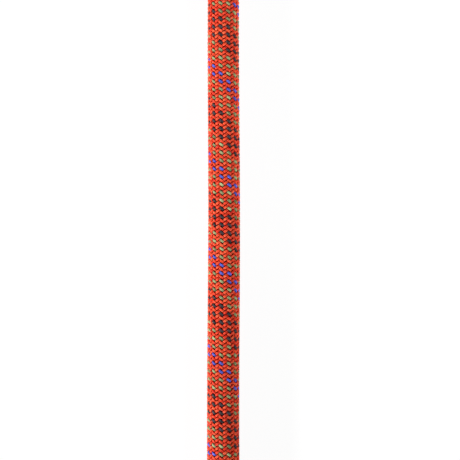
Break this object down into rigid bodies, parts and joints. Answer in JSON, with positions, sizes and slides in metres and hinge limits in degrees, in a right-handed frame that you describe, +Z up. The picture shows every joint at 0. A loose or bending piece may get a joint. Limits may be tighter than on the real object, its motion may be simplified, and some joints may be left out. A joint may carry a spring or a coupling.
{
  "type": "dynamic climbing rope",
  "caption": "Straight length of kernmantle climbing rope: a braided sheath in four yarn colours over twisted core strands, with a fused seal and a plain shrink sleeve at each end.",
  "frame": {"origin": "middle of the rope's length, on the surface that it lies on", "axes": "+Y along the rope, +X across it, +Z up"},
  "size_m": [0.0104, 0.2234, 0.0099],
  "materials": {
    "sheath_red": "woven filament nylon, orange-red, soft sheen",
    "sheath_green": "woven filament nylon, grey-green, soft sheen",
    "sheath_black": "woven filament nylon, black, soft sheen",
    "sheath_blue": "woven filament nylon, violet-blue, soft sheen",
    "core_nylon": "undyed twisted filament nylon",
    "marker_tape": "thin plastic film, satin",
    "end_sleeve": "shrunk polyolefin, satin",
    "fused_nylon": "melted and set nylon, glossy"
  },
  "bodies": {
    "root": {"sheath": "sheath_red", "inner_core_strand_1": "core_nylon", "inner_core_strand_2": "core_nylon", "inner_core_strand_3": "core_nylon", "outer_core_strand_1": "core_nylon", "outer_core_strand_2": "core_nylon", "outer_core_strand_3": "core_nylon", "outer_core_strand_4": "core_nylon", "outer_core_strand_5": "core_nylon", "outer_core_strand_6": "core_nylon", "outer_core_strand_7": "core_nylon", "outer_core_strand_8": "core_nylon", "outer_core_strand_9": "core_nylon", "marker_tape": "marker_tape", "near_end_sleeve": "end_sleeve", "far_end_sleeve": "end_sleeve", "near_end_seal": "fused_nylon", "far_end_seal": "fused_nylon"}
  },
  "joints": []
}
